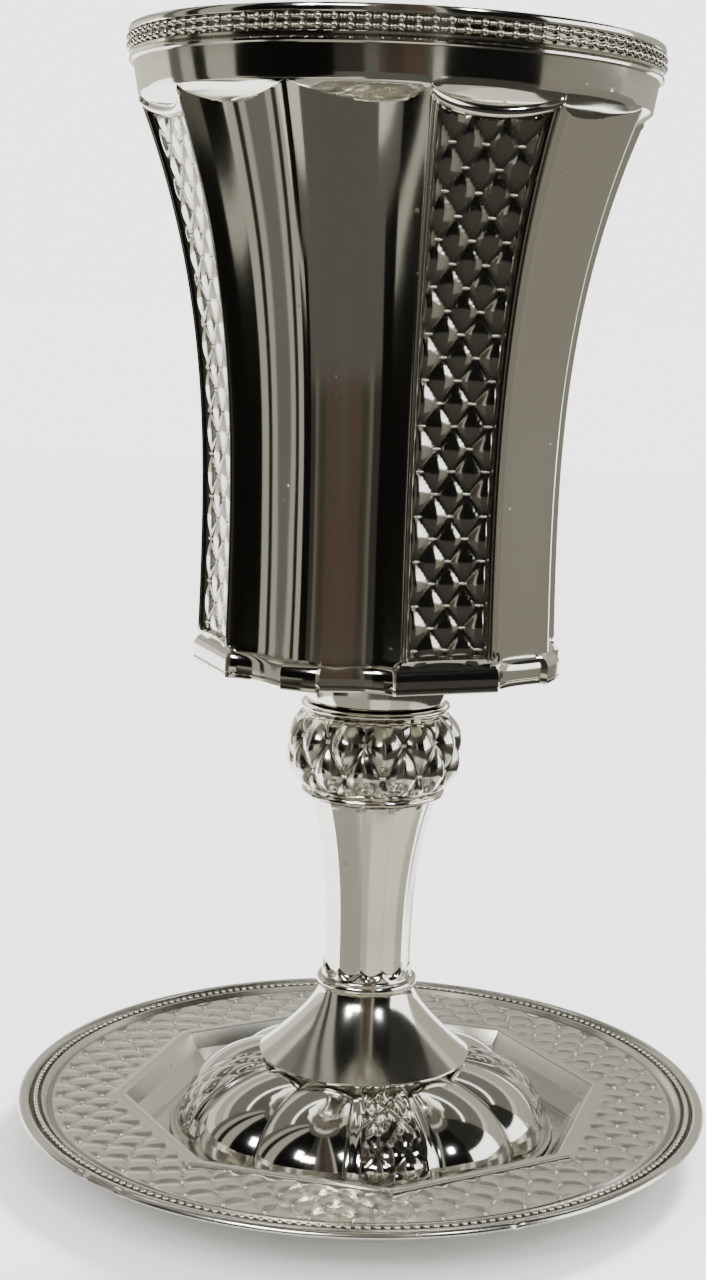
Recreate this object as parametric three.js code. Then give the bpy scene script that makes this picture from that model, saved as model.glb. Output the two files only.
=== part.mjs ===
// Kiddush cup: a fluted goblet that stands in the well of its own round saucer.
// Millimetres, +Z up. The origin is the centre of the saucer's underside, where the part stands.
// An angle is in degrees, counted from the front (-Y) towards the right (+X).
//
// Every piece is a closed skin over a list of rings. A ring maps an angle to [radius, height],
// so a plain ring, an octagon, a fluted ring and a scalloped ring are all written the same way.

import * as THREE from 'three';

// ---- driving dimensions -------------------------------------------------------------------

const SHEET = 0.8; // wall of the pressed saucer and foot
const CUP_WALL = 0.9; // wall of the bowl
const JOINT_GAP = 0.3; // clearance between pieces that touch

const SAUCER_RADIUS = 50;
const SAUCER_HEIGHT = 6.55;
const SAUCER_FLANGE = 5.65; // top of the flat flange
const WELL_CORNER = 34.6; // centre to a corner of the eight-sided well, at its top
const WELL_FLOOR_CORNER = 31.4;
const FRAME_WIDTH = 2.2; // raised flat frame round the well, measured at a corner
const FRAME_RISE = 0.2; // how far the frame stands above the flange
const WELL_TURN = 6.75; // turn of the octagon's first corner from the front
const EDGE_WIDTH = 1.8; // bright rounded edge
const BEAD_WIDTH = 1.4; // bead line inside the edge, plain in this solid

const FOOT_RADIUS = 27.2;
const FOOT_RING_RADIUS = 28.2; // plain ring round the base of the lobes
const FOOT_HEIGHT = 10.2; // rise of the lobes above their base
const FOOT_CROWN = 12; // radius where the dome runs level
const FOOT_LOBES = 12;
const FOOT_TURN = 10.5; // middle of a lobe, from the front
const FOOT_LOBE_DEPTH = 1.2;

const BELL_RADIUS = 15.3;
const COLLAR_RADIUS = 7.4;
const COLLAR_HEIGHT = 23.1;
const STEM_WAIST = 6.28;
const STEM_WAIST_HEIGHT = 27;
const STEM_TOP_RADIUS = 9.3;
const STEM_TOP = 50.6;
const STEM_FLUTES = 12;
const STEM_TURN = 6; // middle of a flute, from the front
const STEM_FLUTE_DEPTH = 0.45;

const KNOP_BOTTOM = STEM_TOP + JOINT_GAP;
const KNOP_TOP = 64.3;
const KNOP_RADIUS = 12.75;
const KNOP_NECK = 9.7; // radius where the ball meets its two rings
const KNOP_RING = 10.5;
const KNOP_BUTTONS = 13; // tufts in each of the two rows
const KNOP_TURN = -6.9; // an upper tuft, from the front
const KNOP_TUFT_DEPTH = 0.7;

const BOWL_BOTTOM = 69.7; // underside of the hem
const BOWL_NECK_RADIUS = 10.5;
const BOWL_FLOOR = 72.8; // inside
const HEM_TOP = 73.7;
const HEM_CORNER = 26.2; // corner radius of the flat hem face below a quilted flute
const HEM_BLOCK = 26.6; // radius of the hem below a rounded rib
const WAIST_RADIUS = 25.2; // ridge circle at the bowl's narrowest
const WAIST_HEIGHT = 88.5;
const WAIST_BASE_SWELL = 0.25; // how much wider the bowl is at its base
const FLARE_POWER = 2.45;
const BAND_BOTTOM = 147;
const BAND_BOTTOM_RADIUS = 35.05;
const BAND_TOP = 151.15;
const BAND_TOP_RADIUS = 35.75;
const RIM_RING_RADIUS = 36.35;
const BEAD_RADIUS = 36.75;
const LIP_RADIUS = 36.45;
const RIM_TOP = 155.8;

const QUILT_TURN = 22; // middle of a quilted flute, from the front
const QUARTER = 90; // the pattern of flutes repeats four times
const QUILT_HALF = 15; // half the angle of a quilted flute
const RIB = 45; // rounded rib, from the middle of a quilted flute
const QUILT_FLUTE_DEPTH = 1.9;
const SMOOTH_FLUTE_DEPTH = 2.15;
const SCOOP_DROP = 2.2; // how far the flutes' arched tops dip below the band

// ---- helpers ------------------------------------------------------------------------------

const radians = THREE.MathUtils.degToRad;
const mix = THREE.MathUtils.lerp;

// An angle measured from the nearest of the repeats that lie every `period` degrees from `turn`.
function fromNearest(angle, turn, period) {
  return THREE.MathUtils.euclideanModulo(angle - turn + period / 2, period) - period / 2;
}

const ring = (radius, height) => () => [radius, height];

// Evenly spaced angles, with one of them at `turn`.
function evenAngles(count, turn) {
  return Array.from({ length: count }, (_, i) => turn + (i * 360) / count);
}

// Closed skin from the first ring to the last. The first and last rings are single points on the
// axis. Rings run outwards along the underside, up the outside and back in along the top.
function skin(rings, angles) {
  const positions = [];
  const indices = [];
  const columns = angles.length;
  const addPoint = (angle, [radius, height]) => {
    positions.push(radius * Math.sin(radians(angle)), -radius * Math.cos(radians(angle)), height);
  };

  addPoint(0, rings[0](0));
  for (const station of rings.slice(1, -1)) {
    for (const angle of angles) addPoint(angle, station(angle));
  }
  addPoint(0, rings.at(-1)(0));

  const bands = rings.length - 2;
  const top = 1 + bands * columns;
  const at = (band, column) => 1 + band * columns + (column % columns);
  for (let column = 0; column < columns; column++) {
    indices.push(0, at(0, column + 1), at(0, column));
    for (let band = 0; band < bands - 1; band++) {
      indices.push(at(band, column), at(band, column + 1), at(band + 1, column + 1));
      indices.push(at(band, column), at(band + 1, column + 1), at(band + 1, column));
    }
    indices.push(top, at(bands - 1, column), at(bands - 1, column + 1));
  }

  const geometry = new THREE.BufferGeometry();
  geometry.setAttribute('position', new THREE.Float32BufferAttribute(positions, 3));
  geometry.setIndex(indices);
  geometry.computeVertexNormals();
  return geometry;
}

function piece(name, geometry, color, roughness) {
  const material = new THREE.MeshStandardMaterial({ color, roughness, metalness: 1 });
  const mesh = new THREE.Mesh(geometry, material);
  mesh.name = name;
  return mesh;
}

// ---- saucer -------------------------------------------------------------------------------

const OCTAGON_SIDES = 8;
const SAUCER_COLUMNS = 56;

// Ring in the shape of the well, given the distance from the centre to a corner.
function octagonRing(corner, height) {
  const half = 180 / OCTAGON_SIDES;
  return (angle) => {
    const fromFlat = fromNearest(angle, WELL_TURN + half, 2 * half);
    return [(corner * Math.cos(radians(half))) / Math.cos(radians(fromFlat)), height];
  };
}

function saucerGeometry() {
  const underFlange = SAUCER_FLANGE - SHEET;
  const frameTop = SAUCER_FLANGE + FRAME_RISE;
  const beadTop = SAUCER_HEIGHT - 0.3;
  const beadOutside = SAUCER_RADIUS - EDGE_WIDTH;
  const beadInside = beadOutside - BEAD_WIDTH;
  const wallSlant = 0.5; // the well's underside lies this much inside its top side
  const rings = [
    ring(0, 0),
    octagonRing(WELL_FLOOR_CORNER - wallSlant, 0),
    octagonRing(WELL_CORNER - wallSlant, underFlange),
    ring(beadInside - 1.3, underFlange),
    ring(SAUCER_RADIUS - 0.7, SAUCER_HEIGHT - 1.1),
    ring(SAUCER_RADIUS, SAUCER_HEIGHT - 0.6),
    ring(SAUCER_RADIUS - 0.4, SAUCER_HEIGHT - 0.1),
    ring(SAUCER_RADIUS - 1.2, SAUCER_HEIGHT),
    ring(beadOutside, beadTop),
    ring(beadInside, beadTop),
    ring(beadInside - 0.5, SAUCER_FLANGE),
    octagonRing(WELL_CORNER + FRAME_WIDTH, SAUCER_FLANGE),
    octagonRing(WELL_CORNER + FRAME_WIDTH - FRAME_RISE, frameTop),
    octagonRing(WELL_CORNER, frameTop),
    octagonRing(WELL_FLOOR_CORNER, SHEET),
    ring(0, SHEET),
  ];
  return skin(rings, evenAngles(SAUCER_COLUMNS, WELL_TURN));
}

// ---- foot ---------------------------------------------------------------------------------

const FOOT_COLUMNS = FOOT_LOBES * 5;
const FOOT_BASE = SHEET + JOINT_GAP;
const FOOT_EDGE = 0.4; // upright edge of the ring below the lobes
const FOOT_SPRING = FOOT_BASE + FOOT_EDGE; // where the lobes start to rise

// Ring on the lobed dome. `rise` is 0 at the base and 90 at the crown, and `inset` is the
// distance inside the outer skin.
function footRing(rise, inset) {
  const level = Math.cos(radians(rise));
  const upright = Math.sin(radians(rise));
  return (angle) => {
    const acrossLobe = fromNearest(angle, FOOT_TURN, 360 / FOOT_LOBES) / (180 / FOOT_LOBES);
    const valley = FOOT_LOBE_DEPTH * acrossLobe ** 2 * (0.35 + 0.65 * level);
    const depth = inset + valley;
    const radius = FOOT_CROWN + (FOOT_RADIUS - FOOT_CROWN) * level - depth * level;
    return [radius, FOOT_SPRING + (FOOT_HEIGHT - depth) * upright];
  };
}

function footGeometry() {
  const crown = FOOT_SPRING + FOOT_HEIGHT;
  const ringInside = FOOT_RING_RADIUS - 2.6;
  const outside = [0, 14, 28, 42, 56, 72].map((rise) => footRing(rise, 0));
  const inside = [62, 25].map((rise) => footRing(rise, SHEET));
  const rings = [
    ring(0, crown - SHEET),
    ...inside,
    ring(ringInside, FOOT_BASE),
    ring(FOOT_RING_RADIUS, FOOT_BASE),
    ring(FOOT_RING_RADIUS, FOOT_SPRING),
    ...outside,
    ring(FOOT_CROWN, crown),
    ring(0, crown),
  ];
  return skin(rings, evenAngles(FOOT_COLUMNS, FOOT_TURN));
}

// ---- stem with its bell and collar ----------------------------------------------------------

const STEM_COLUMNS = STEM_FLUTES * 4;
const BELL_BOTTOM = 11.75;
const BELL_EDGE = 0.6; // height of the bell's upright edge
const BELL_POWER = 1.42;
const BELL_HOLLOW_TOP = 15.4; // the bell is hollow up to here
const BELL_NECK = 6.8; // radius where the bell meets the collar

// Trumpet shape: steep at the neck, running out nearly flat to the edge.
function bellRing(fall) {
  const top = COLLAR_HEIGHT - 1;
  const height = top - (top - BELL_BOTTOM - BELL_EDGE) * fall;
  return ring(BELL_NECK + (BELL_RADIUS - BELL_NECK) * fall ** BELL_POWER, height);
}

// Radius of the stem's ridges: a waist low down, then a widening curve up to the knop.
function stemRadius(height) {
  const rise = Math.max(0, (height - STEM_WAIST_HEIGHT) / (STEM_TOP - STEM_WAIST_HEIGHT));
  return STEM_WAIST + (STEM_TOP_RADIUS - STEM_WAIST) * rise ** 2.6;
}

function stemRing(height, depth) {
  return (angle) => {
    const acrossFlute = fromNearest(angle, STEM_TURN, 360 / STEM_FLUTES) / (180 / STEM_FLUTES);
    return [stemRadius(height) - depth * (1 - acrossFlute ** 2), height];
  };
}

function stemGeometry() {
  const fluteBottom = COLLAR_HEIGHT + 1.1;
  const fluteHeights = [1.6, 12, 18.5, 23].map((rise) => fluteBottom + rise);
  const bell = [0.94, 0.84, 0.66, 0.4, 0.16, 0].map(bellRing);
  const rings = [
    ring(0, BELL_HOLLOW_TOP),
    ring(BELL_NECK + 1, BELL_HOLLOW_TOP),
    ring(BELL_RADIUS - 1.9, BELL_BOTTOM + BELL_EDGE),
    ring(BELL_RADIUS - 1, BELL_BOTTOM),
    ring(BELL_RADIUS - 0.1, BELL_BOTTOM),
    ring(BELL_RADIUS, BELL_BOTTOM + BELL_EDGE),
    ...bell,
    ring(COLLAR_RADIUS - 0.15, COLLAR_HEIGHT - 0.6),
    ring(COLLAR_RADIUS, COLLAR_HEIGHT),
    ring(COLLAR_RADIUS - 0.3, COLLAR_HEIGHT + 0.7),
    stemRing(fluteBottom, 0),
    ...fluteHeights.map((height) => stemRing(height, STEM_FLUTE_DEPTH)),
    stemRing(STEM_TOP, 0),
    ring(0, STEM_TOP),
  ];
  return skin(rings, evenAngles(STEM_COLUMNS, STEM_TURN));
}

// ---- knop ---------------------------------------------------------------------------------

const KNOP_COLUMNS = KNOP_BUTTONS * 4;
const KNOP_MIDDLE = (KNOP_BOTTOM + KNOP_TOP) / 2;
const KNOP_BALL_HALF = 5.5; // half the height of the ball between its rings
const KNOP_ROW = 2.3; // height of each row of tufts above or below the middle

// Ring on the ball. Tufts sit half a pitch apart in the two rows, so the skin swells and dips
// as a checkered wave between them.
function knopRing(height) {
  const lift = height - KNOP_MIDDLE;
  const bulge = Math.sqrt(Math.max(0, 1 - (lift / KNOP_BALL_HALF) ** 2));
  const row = Math.cos(radians((90 * (lift - KNOP_ROW)) / KNOP_ROW));
  return (angle) => {
    const aroundTuft = Math.cos(radians((angle - KNOP_TURN) * KNOP_BUTTONS));
    const dip = KNOP_TUFT_DEPTH * bulge * (0.5 + 0.5 * row * aroundTuft);
    return [mix(KNOP_NECK, KNOP_RADIUS, bulge) - dip, height];
  };
}

function knopGeometry() {
  const ballHeights = [-2, -1, 0, 1, 2].map((row) => KNOP_MIDDLE + row * KNOP_ROW);
  const rings = [
    ring(0, KNOP_BOTTOM),
    ring(KNOP_RING - 0.4, KNOP_BOTTOM),
    ring(KNOP_RING - 0.1, KNOP_BOTTOM + 0.5),
    ring(KNOP_NECK, KNOP_MIDDLE - KNOP_BALL_HALF),
    ...ballHeights.map(knopRing),
    ring(KNOP_NECK, KNOP_MIDDLE + KNOP_BALL_HALF),
    ring(KNOP_RING + 0.2, KNOP_TOP - 0.6),
    ring(KNOP_RING, KNOP_TOP),
    ring(0, KNOP_TOP),
  ];
  return skin(rings, evenAngles(KNOP_COLUMNS, KNOP_TURN));
}

// ---- bowl ---------------------------------------------------------------------------------

// Radius of the circle that touches the ridges between the flutes.
function ridgeRadius(height) {
  if (height < WAIST_HEIGHT) {
    const drop = (WAIST_HEIGHT - height) / (WAIST_HEIGHT - HEM_TOP);
    return WAIST_RADIUS + WAIST_BASE_SWELL * drop ** 1.5;
  }
  const rise = (height - WAIST_HEIGHT) / (BAND_BOTTOM - WAIST_HEIGHT);
  return WAIST_RADIUS + (BAND_BOTTOM_RADIUS - WAIST_RADIUS) * rise ** FLARE_POWER;
}

const fromQuilt = (angle) => Math.abs(fromNearest(angle, QUILT_TURN, QUARTER));

// 0 on a ridge or rib, 1 at the deepest line of a flute. A quilted flute has a sharp ridge on
// both sides. A smooth one has a sharp ridge on one side and rolls over into a rib on the other.
function fluteShape(away) {
  if (away < QUILT_HALF) return 1 - (away / QUILT_HALF) ** 2;
  const across = (away - QUILT_HALF) / (RIB - QUILT_HALF);
  const rollPower = 1.6;
  const deepest = 1 / (1 + rollPower);
  return (across * (1 - across) ** rollPower) / (deepest * (1 - deepest) ** rollPower);
}

// How far a flute lies inside the ridge circle. Flutes deepen as the bowl widens.
function fluteDepth(angle, height) {
  const away = fromQuilt(angle);
  const depth = away < QUILT_HALF ? QUILT_FLUTE_DEPTH : SMOOTH_FLUTE_DEPTH;
  return depth * fluteShape(away) * (ridgeRadius(height) / WAIST_RADIUS);
}

function wallRing(height, inset = 0) {
  return (angle) => [ridgeRadius(height) - fluteDepth(angle, height) - inset, height];
}

// Arched tops of the flutes, where they run out under the band.
function scoopRing(angle) {
  const height = BAND_BOTTOM - SCOOP_DROP * Math.sqrt(Math.max(0, fluteShape(fromQuilt(angle))));
  return wallRing(height)(angle);
}

// Outline of the hem: flat below a quilted flute, hollow below a smooth one, a block at a rib.
function hemRadius(angle) {
  const away = fromQuilt(angle);
  const flatHalf = 16.8;
  const blockStart = 39.5;
  if (away <= flatHalf - 0.5) {
    return (HEM_CORNER * Math.cos(radians(flatHalf))) / Math.cos(radians(away));
  }
  const hollow = ridgeRadius(HEM_TOP) - fluteDepth(angle, HEM_TOP) + 0.95;
  return away >= blockStart ? HEM_BLOCK : hollow;
}

const hemRing = (inset, height) => (angle) => [hemRadius(angle) - inset, height];

function bowlGeometry() {
  const neckBottom = KNOP_TOP + JOINT_GAP;
  const outerHeights = [84, 98, 110, 120, 129, 137, 142.6];
  const innerHeights = [139, 126, 108, HEM_TOP + 1];
  const rings = [
    ring(0, neckBottom),
    ring(BOWL_NECK_RADIUS, neckBottom),
    ring(BOWL_NECK_RADIUS, BOWL_BOTTOM),
    hemRing(0.4, BOWL_BOTTOM),
    hemRing(0, BOWL_BOTTOM + 0.5),
    hemRing(0, HEM_TOP - 1.5),
    hemRing(0.5, HEM_TOP - 0.5),
    wallRing(HEM_TOP),
    ...outerHeights.map((height) => wallRing(height)),
    scoopRing,
    ring(BAND_BOTTOM_RADIUS + 0.05, BAND_BOTTOM + 0.1),
    ring(BAND_TOP_RADIUS, BAND_TOP),
    ring(RIM_RING_RADIUS, BAND_TOP + 0.4),
    ring(BEAD_RADIUS, BAND_TOP + 1.7),
    ring(BEAD_RADIUS, RIM_TOP - 1.2),
    ring(LIP_RADIUS, RIM_TOP - 0.8),
    ring(LIP_RADIUS - 0.1, RIM_TOP),
    ring(BAND_TOP_RADIUS - 0.2, RIM_TOP),
    ring(BAND_BOTTOM_RADIUS - CUP_WALL, BAND_BOTTOM),
    ...innerHeights.map((height) => wallRing(height, CUP_WALL)),
    ring(0, BOWL_FLOOR),
  ];
  return skin(rings, bowlAngles());
}

// Columns of the bowl: closer together where a ridge, a hem corner or a rib needs them.
function bowlAngles() {
  const half = [4, 10, QUILT_HALF, 16.8, 22, 29, 35, 39.5];
  const mirrored = half.map((away) => -away).reverse();
  const quarter = [...mirrored, ...half, RIB];
  return [0, 1, 2, 3].flatMap((turn) => quarter.map((away) => QUILT_TURN + turn * QUARTER + away));
}

// ---- the object -----------------------------------------------------------------------------

const cup = new THREE.Group();
cup.add(
  piece('saucer', saucerGeometry(), 0xc9c7bb, 0.24),
  piece('foot', footGeometry(), 0xbdbbb0, 0.12),
  piece('stem', stemGeometry(), 0xcdcabd, 0.14),
  piece('knop', knopGeometry(), 0xc6c3b6, 0.16),
  piece('bowl', bowlGeometry(), 0xc3c1b5, 0.12),
);

export default cup;
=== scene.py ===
"""Kiddush cup: a fluted goblet that stands in the well of its round saucer.

Sizes below are millimetres and angles are degrees from the front (-Y) towards the right (+X).
Every turned or fluted piece is a closed skin over a list of rings. A ring maps an angle to
(radius, height, crease), where crease runs from 0 on open metal to 1 deep in a fold. The
metal darkens with crease: partly tarnished hollows, partly painted shade.
"""

import math

import bpy
from mathutils import Matrix, Vector


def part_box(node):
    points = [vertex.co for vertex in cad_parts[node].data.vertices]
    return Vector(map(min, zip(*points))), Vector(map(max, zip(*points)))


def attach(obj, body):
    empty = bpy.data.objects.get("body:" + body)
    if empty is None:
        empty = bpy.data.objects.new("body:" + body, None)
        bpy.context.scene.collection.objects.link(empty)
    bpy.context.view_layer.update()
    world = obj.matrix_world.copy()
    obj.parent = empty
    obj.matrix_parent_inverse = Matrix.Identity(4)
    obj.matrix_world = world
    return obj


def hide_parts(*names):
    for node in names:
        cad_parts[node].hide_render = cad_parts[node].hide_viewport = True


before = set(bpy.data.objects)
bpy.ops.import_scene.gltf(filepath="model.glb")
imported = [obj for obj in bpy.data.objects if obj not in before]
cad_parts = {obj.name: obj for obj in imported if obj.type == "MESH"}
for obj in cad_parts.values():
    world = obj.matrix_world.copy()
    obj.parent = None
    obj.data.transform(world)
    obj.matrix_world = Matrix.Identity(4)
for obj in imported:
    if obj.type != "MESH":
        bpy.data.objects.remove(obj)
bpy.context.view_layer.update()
MM = 0.001


def millimetres(node):
    """Lowest and highest corner of a node's box in the frame."""
    low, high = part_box(node)
    return Vector(low) / MM, Vector(high) / MM


SAUCER_HIGH = millimetres("saucer")[1]
FOOT_LOW, FOOT_HIGH = millimetres("foot")
STEM_LOW, STEM_HIGH = millimetres("stem")
KNOP_LOW, KNOP_HIGH = millimetres("knop")
BOWL_LOW, BOWL_HIGH = millimetres("bowl")

# ---- sizes ----------------------------------------------------------------------------------

SHEET = 0.8  # wall of the pressed saucer and foot
CUP_WALL = 0.9

SAUCER_RADIUS = SAUCER_HIGH.x
SAUCER_TOP = SAUCER_HIGH.z
FLANGE = SAUCER_TOP - 0.9
FRAME_RISE = 0.2
FRAME_WIDTH = 2.2
WELL_CORNER = SAUCER_RADIUS - 15.4
WELL_FLOOR_CORNER = WELL_CORNER - 3.2
WELL_TURN = 6.75
SAUCER_QUILTS = 48
SAUCER_QUILT_RADIUS = 38  # first row of tufts
SAUCER_QUILT_LONG = 6
SAUCER_QUILT_DEPTH = 0.34
SAUCER_BEADS = 240

FOOT_RING = FOOT_HIGH.x
FOOT_RADIUS = FOOT_RING - 1
FOOT_CROWN = 12
FOOT_EDGE = 0.4
FOOT_LOBES = 12
FOOT_TURN = 10.5
LOBE_DEPTH = 1.2
FOOT_QUILT_DEPTH = 0.45

BELL_RADIUS = STEM_HIGH.x
BELL_NECK = 6.8
BELL_EDGE = 0.6
BELL_POWER = 1.42
COLLAR_HEIGHT = STEM_LOW.z + 11.35
COLLAR_RADIUS = 7.4
STEM_WAIST = 6.28
STEM_WAIST_HEIGHT = COLLAR_HEIGHT + 3.9
STEM_TOP_RADIUS = 9.3
STEM_TURN = 6
STEM_FLUTES = 12
STEM_FLUTE_DEPTH = 0.5

KNOP_MIDDLE = (KNOP_LOW.z + KNOP_HIGH.z) / 2
KNOP_BALL_HALF = 5.5
KNOP_BALL_RADIUS = 12.75
KNOP_NECK = 9.7
KNOP_RING = 10.6
KNOP_BUTTONS = 13
KNOP_TURN = -6.9
KNOP_ROW = 2.3  # each row of tufts lies this far from the middle
KNOP_TUFT_DEPTH = 1.5

NECK_RADIUS = 10.5
HEM_BOTTOM = BOWL_LOW.z + 5.1
HEM_TOP = HEM_BOTTOM + 4
BOWL_FLOOR = HEM_BOTTOM + 3.1
HEM_CORNER = 26.2
HEM_BLOCK = 26.6
HEM_FLAT_HALF = 16.8
HEM_BLOCK_START = 39.5
RIM_TOP = BOWL_HIGH.z
BAND_BOTTOM = RIM_TOP - 8.8
BAND_TOP = RIM_TOP - 4.65
BEAD_RADIUS = BOWL_HIGH.x  # outside of the bead rows
BAND_BOTTOM_RADIUS = BEAD_RADIUS - 1.7
BAND_TOP_RADIUS = BEAD_RADIUS - 1
WAIST_RADIUS = 25.2
WAIST_HEIGHT = HEM_TOP + 14.8
WAIST_BASE_SWELL = 0.25
FLARE_POWER = 2.45
QUILT_TURN = 22
QUARTER = 90
QUILT_HALF = 15
RIB = 45
QUILT_FLUTE_DEPTH = 1.5
SMOOTH_FLUTE_DEPTH = 2.15
SCOOP_DROP = 2.2
QUILT_BORDER = 13  # the diamonds end here and the double border begins
QUILT_LIP = 1.15
QUILT_FIRST_ROW = HEM_TOP + 1.8
QUILT_TALL = 5.9
QUILT_WIDE = 4.85
QUILT_WIDE_TOP = 5.05
QUILT_DEPTH = 0.46
RIM_MOTIFS = 112


# ---- helpers --------------------------------------------------------------------------------


def mix(a, b, share):
    return a + (b - a) * share


def clamp(value, low=0.0, high=1.0):
    return max(low, min(high, value))


def ease(value):
    value = clamp(value)
    return value * value * (3 - 2 * value)


def from_nearest(angle, turn, period):
    """Angle measured from the nearest of the repeats that lie every `period` from `turn`."""
    return (angle - turn + period / 2) % period - period / 2


def place(angle, radius, height):
    """Point in metres at an angle, radius and height."""
    turn = math.radians(angle)
    return Vector((radius * math.sin(turn), -radius * math.cos(turn), height)) * MM


def even_angles(count, turn=0.0):
    return [turn + 360 * i / count for i in range(count)]


def ring(radius, height, crease=0.0):
    return lambda angle: (radius, height, crease)


def diamonds(u, v):
    """Puffed height of a tufted quilt: 1 in the middle of a pillow and 0 along the creases.

    A tuft lies at every whole (u, v) and at every point half a step from it both ways.
    """
    across = abs(math.sin(math.pi * (u + v))) * abs(math.sin(math.pi * (u - v)))
    return across**0.45


def make_object(name, points, faces, crease=None, sharp=38):
    mesh = bpy.data.meshes.new(name)
    mesh.from_pydata(points, [], faces)
    mesh.validate()
    # The crease values darken the metal: partly tarnished hollows, partly painted shade.
    if crease:
        attribute = mesh.attributes.new("crease", "FLOAT", "POINT")
        attribute.data.foreach_set("value", crease)
    mesh.shade_smooth()
    mesh.set_sharp_from_angle(angle=math.radians(sharp))
    made = bpy.data.objects.new(name, mesh)
    bpy.context.scene.collection.objects.link(made)
    return made


def skin(name, rings, angles, sharp=38):
    """Closed skin from the first ring to the last, which are single points on the axis."""
    columns = len(angles)
    first = rings[0](0)
    last = rings[-1](0)
    points = [place(0, 0, first[1])]
    crease = [first[2]]
    for station in rings[1:-1]:
        for angle in angles:
            radius, height, fold = station(angle)
            points.append(place(angle, radius, height))
            crease.append(fold)
    points.append(place(0, 0, last[1]))
    crease.append(last[2])

    bands = len(rings) - 2
    top = len(points) - 1
    faces = []
    for column in range(columns):
        beside = (column + 1) % columns
        faces.append((0, 1 + beside, 1 + column))
        for band in range(bands - 1):
            below = 1 + band * columns
            above = below + columns
            faces.append((below + column, below + beside, above + beside, above + column))
        ring_start = 1 + (bands - 1) * columns
        faces.append((top, ring_start + column, ring_start + beside))
    return make_object(name, points, faces, crease, sharp)


# ---- node trees -----------------------------------------------------------------------------


def add_node(tree, kind, settings=None, sockets=None):
    """Adds a node: its settings first, then its inputs, each a constant or another socket."""
    made = tree.nodes.new(kind)
    for name, value in (settings or {}).items():
        setattr(made, name, value)
    for name, value in (sockets or {}).items():
        if isinstance(value, Value):
            value = value.socket
        if isinstance(value, bpy.types.NodeSocket):
            tree.links.new(value, made.inputs[name])
        else:
            made.inputs[name].default_value = value
    return made


class Value:
    """A number socket that ordinary arithmetic works on. Each step adds a Math node."""

    def __init__(self, tree, socket):
        self.tree = tree
        self.socket = socket

    def maths(self, operation, *terms):
        made = add_node(
            self.tree, "ShaderNodeMath", {"operation": operation}, dict(enumerate(terms))
        )
        return Value(self.tree, made.outputs[0])

    def __add__(self, other):
        return self.maths("ADD", self, other)

    __radd__ = __add__

    def __sub__(self, other):
        return self.maths("SUBTRACT", self, other)

    def __rsub__(self, other):
        return self.maths("SUBTRACT", other, self)

    def __mul__(self, other):
        return self.maths("MULTIPLY", self, other)

    __rmul__ = __mul__

    def __truediv__(self, other):
        return self.maths("DIVIDE", self, other)

    def __pow__(self, other):
        return self.maths("POWER", self, other)

    def __abs__(self):
        return self.maths("ABSOLUTE", self)

    def sine(self):
        return self.maths("SINE", self)

    def above(self, other):
        return self.maths("MAXIMUM", self, other)

    def below(self, other):
        return self.maths("MINIMUM", self, other)


# ---- geometry nodes -------------------------------------------------------------------------


def geometry_tree(name, inputs):
    """New geometry tree with a geometry input and output and the given named inputs."""
    tree = bpy.data.node_groups.new(name, "GeometryNodeTree")
    tree.interface.new_socket("Geometry", in_out="INPUT", socket_type="NodeSocketGeometry")
    for label, kind in inputs.items():
        tree.interface.new_socket(label, in_out="INPUT", socket_type=kind)
    tree.interface.new_socket("Geometry", in_out="OUTPUT", socket_type="NodeSocketGeometry")
    return tree


def settle(piece, tree, values):
    """Runs the tree on the piece with the given input values and leaves a plain mesh."""
    modifier = piece.modifiers.new(tree.name, "NODES")
    modifier.node_group = tree
    for item in tree.interface.items_tree:
        if item.in_out == "INPUT" and item.name in values:
            modifier[item.identifier] = values[item.name]
    evaluated = piece.evaluated_get(bpy.context.evaluated_depsgraph_get())
    plain = bpy.data.meshes.new_from_object(evaluated)
    piece.modifiers.remove(modifier)
    piece.data = plain
    plain.name = piece.name
    return piece


def bead_tree():
    """A small round bead on every vertex, as large as the vertex's bead_size."""
    tree = geometry_tree(
        "beads",
        {"Around": "NodeSocketInt", "Rings": "NodeSocketInt", "Metal": "NodeSocketMaterial"},
    )
    given = add_node(tree, "NodeGroupInput").outputs
    ball = add_node(
        tree,
        "GeometryNodeMeshUVSphere",
        sockets={"Segments": given["Around"], "Rings": given["Rings"], "Radius": 1.0},
    )
    smooth = add_node(
        tree, "GeometryNodeSetShadeSmooth", sockets={"Geometry": ball.outputs["Mesh"]}
    )
    size = add_node(
        tree,
        "GeometryNodeInputNamedAttribute",
        {"data_type": "FLOAT"},
        {"Name": "bead_size"},
    )
    placed = add_node(
        tree,
        "GeometryNodeInstanceOnPoints",
        sockets={
            "Points": given["Geometry"],
            "Instance": smooth.outputs["Geometry"],
            "Scale": size.outputs["Attribute"],
        },
    )
    real = add_node(
        tree,
        "GeometryNodeRealizeInstances",
        sockets={"Geometry": placed.outputs["Instances"]},
    )
    dressed = add_node(
        tree,
        "GeometryNodeSetMaterial",
        sockets={"Geometry": real.outputs["Geometry"], "Material": given["Metal"]},
    )
    add_node(tree, "NodeGroupOutput", sockets={"Geometry": dressed.outputs["Geometry"]})
    return tree


def beads(name, spots, metal, around=8, rings=6):
    """Beads at (position in metres, radius in millimetres) spots."""
    mesh = bpy.data.meshes.new(name)
    mesh.from_pydata([spot for spot, _ in spots], [], [])
    size = mesh.attributes.new("bead_size", "FLOAT", "POINT")
    size.data.foreach_set("value", [radius * MM for _, radius in spots])
    made = bpy.data.objects.new(name, mesh)
    bpy.context.scene.collection.objects.link(made)
    return settle(made, BEADS, {"Around": around, "Rings": rings, "Metal": metal})


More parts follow.
